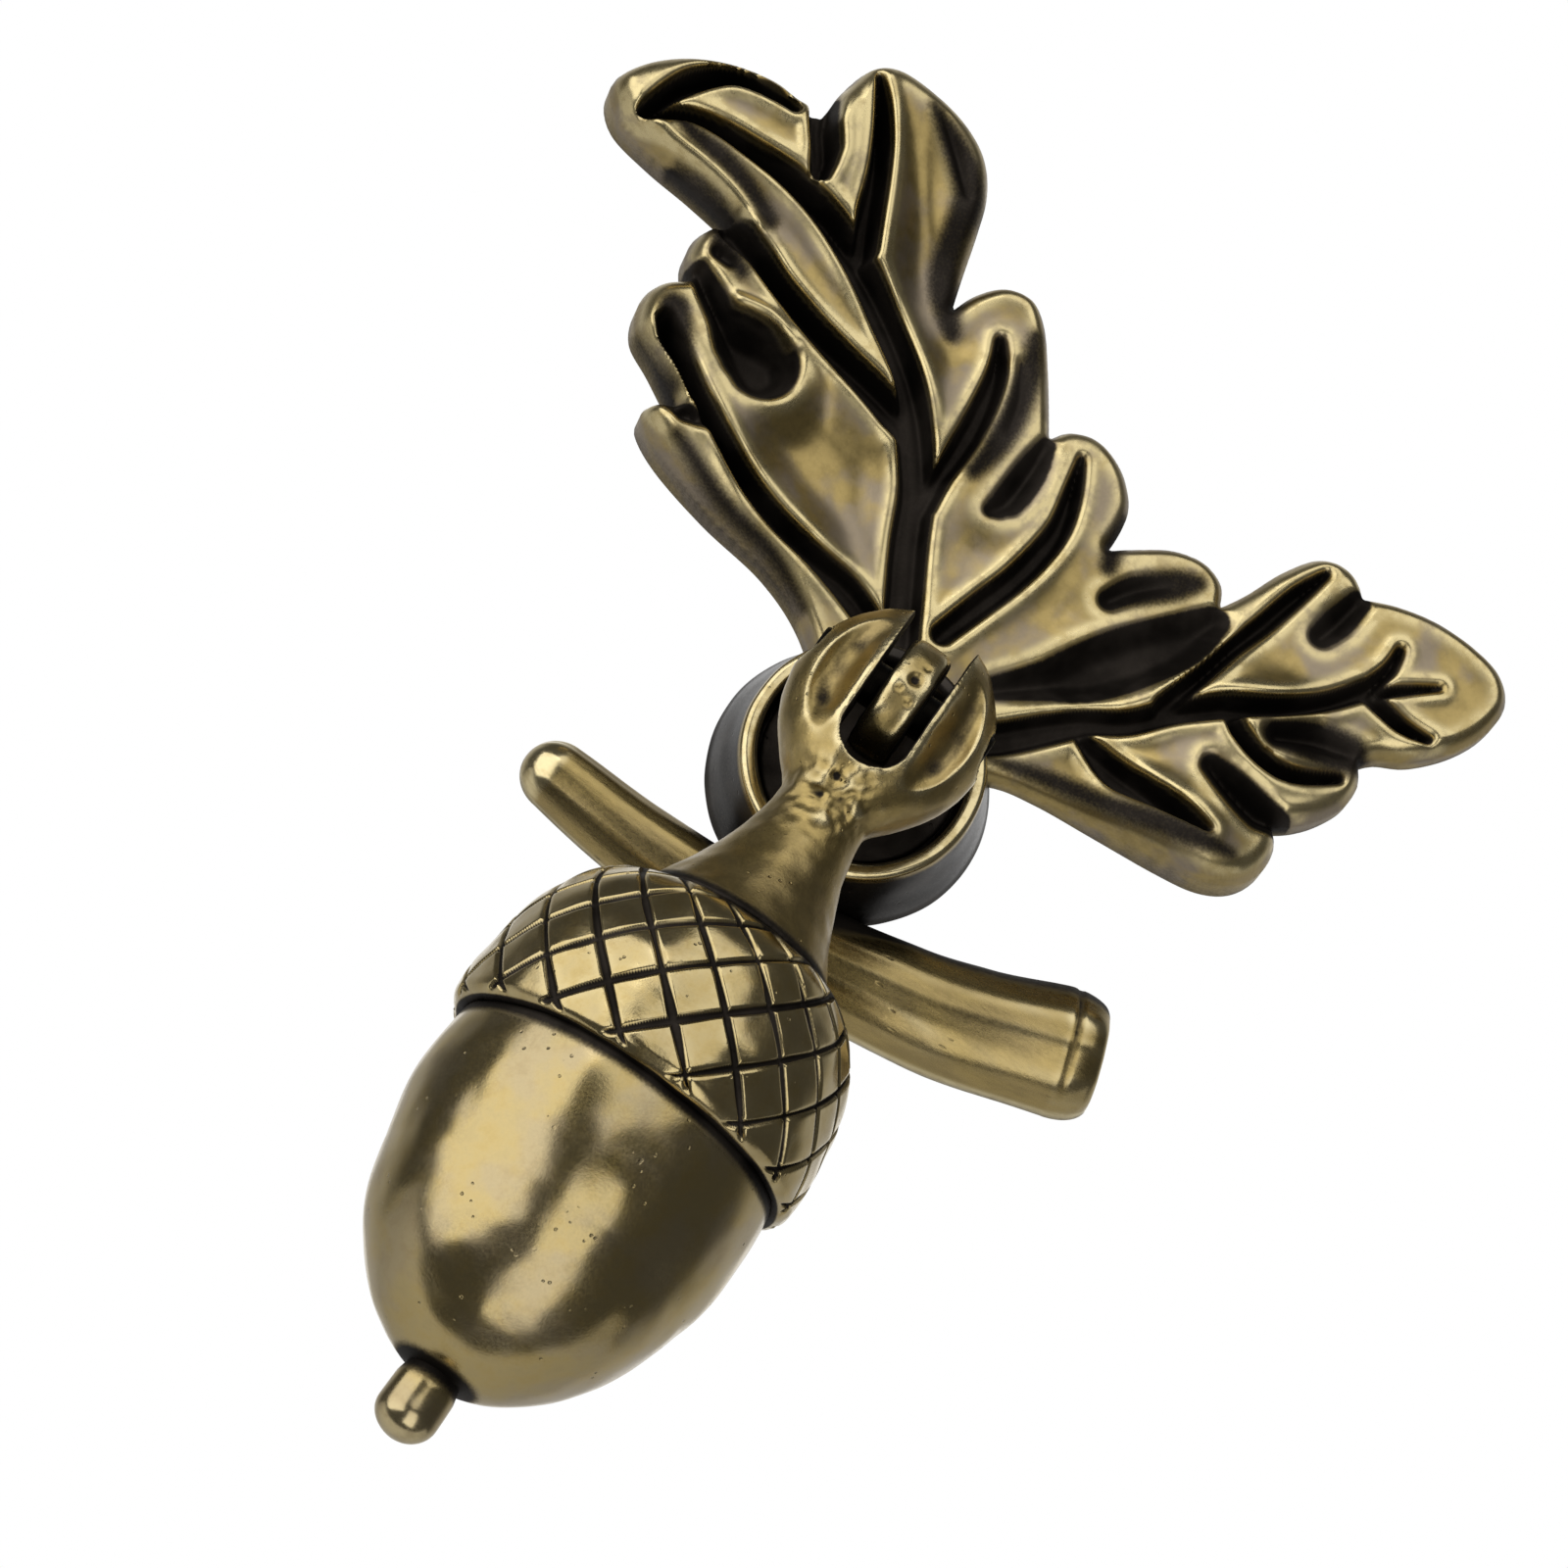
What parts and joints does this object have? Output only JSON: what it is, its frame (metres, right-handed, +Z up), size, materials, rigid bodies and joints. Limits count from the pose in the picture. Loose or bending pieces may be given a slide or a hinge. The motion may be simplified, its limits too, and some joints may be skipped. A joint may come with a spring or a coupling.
{
  "type": "cabinet drop pull",
  "caption": "Drop pull for a drawer: an oak leaf and twig backplate with a round boss and an eye post, and an acorn that swings on a cross pin.",
  "frame": {"origin": "middle of the screw hole and of the boss, on the flat back of the backplate", "axes": "+Y points out of the flat back into the drawer front, -Y out to the front, +Z up with the acorn hanging towards -Z, +X to the right seen from the front"},
  "size_m": [0.0569, 0.0228, 0.0792],
  "materials": {
    "antique_brass": "polished high spots over a dark patina in the hollows",
    "pin_metal": "darkened, satin"
  },
  "bodies": {
    "base": {"backplate": "antique_brass", "eye_post": "antique_brass"},
    "drop": {"acorn_drop": "antique_brass", "pivot_pin": "pin_metal"}
  },
  "joints": [
    {"name": "acorn_swing", "type": "hinge", "parent": "base", "child": "drop", "pos_m": [0, -0.0128, 0.0008], "axis": [-1, 0, 0], "range_deg": [-5.5, 170]}
  ]
}
